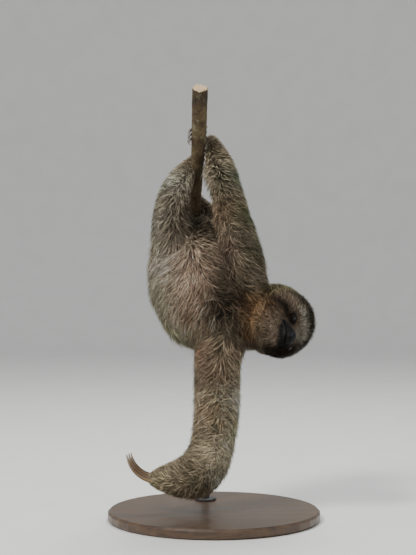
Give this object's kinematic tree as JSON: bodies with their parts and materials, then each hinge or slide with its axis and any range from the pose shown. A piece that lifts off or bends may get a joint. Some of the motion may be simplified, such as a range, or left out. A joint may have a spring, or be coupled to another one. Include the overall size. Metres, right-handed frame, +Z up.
{
  "type": "three-toed sloth",
  "caption": "Life-size three-toed sloth hanging head down from a cut branch by its hind feet and a raised arm, the other arm loose, on a round display stand.",
  "frame": {"origin": "centre of the stand base's underside, on the floor", "axes": "+Z up; +X to the right of someone who faces the animal's belly; +Y away from them, through its back"},
  "size_m": [0.32, 0.32, 0.6468],
  "materials": {
    "coat_belly": "long, coarse, matt fur",
    "coat_back": "long, coarse, matt fur, greyer",
    "coat_limb": "long, shaggy, matt fur",
    "coat_head": "short, dense fur",
    "eye": "wet gloss",
    "nose_skin": "dark bare skin",
    "claw_horn": "satin horn",
    "bark": "rough bark",
    "stand_wood": "dark satin varnish",
    "stand_steel": "satin"
  },
  "bodies": {
    "root": {"head": "coat_head", "nose": "nose_skin", "eye_left": "eye", "eye_right": "eye", "chest": "coat_belly", "belly": "coat_belly", "neck": "coat_back", "pelvis": "coat_back", "tail": "coat_back", "upper_arm_left": "coat_limb", "forearm_left": "coat_limb", "hand_left": "coat_limb", "thigh_left": "coat_limb", "shin_left": "coat_limb", "foot_left": "coat_limb", "upper_arm_right": "coat_limb", "forearm_right": "coat_limb", "hand_right": "coat_limb", "thigh_right": "coat_limb", "shin_right": "coat_limb", "foot_right": "coat_limb", "claw_hand_right_1": "claw_horn", "claw_hand_right_2": "claw_horn", "claw_hand_right_3": "claw_horn", "claw_hand_left_1": "claw_horn", "claw_hand_left_2": "claw_horn", "claw_hand_left_3": "claw_horn", "claw_foot_right_1": "claw_horn", "claw_foot_right_2": "claw_horn", "claw_foot_right_3": "claw_horn", "claw_foot_left_1": "claw_horn", "claw_foot_left_2": "claw_horn", "claw_foot_left_3": "claw_horn", "branch": "bark", "stand_base": "stand_wood", "stand_rod": "stand_steel", "stand_collar": "stand_steel"}
  },
  "joints": []
}
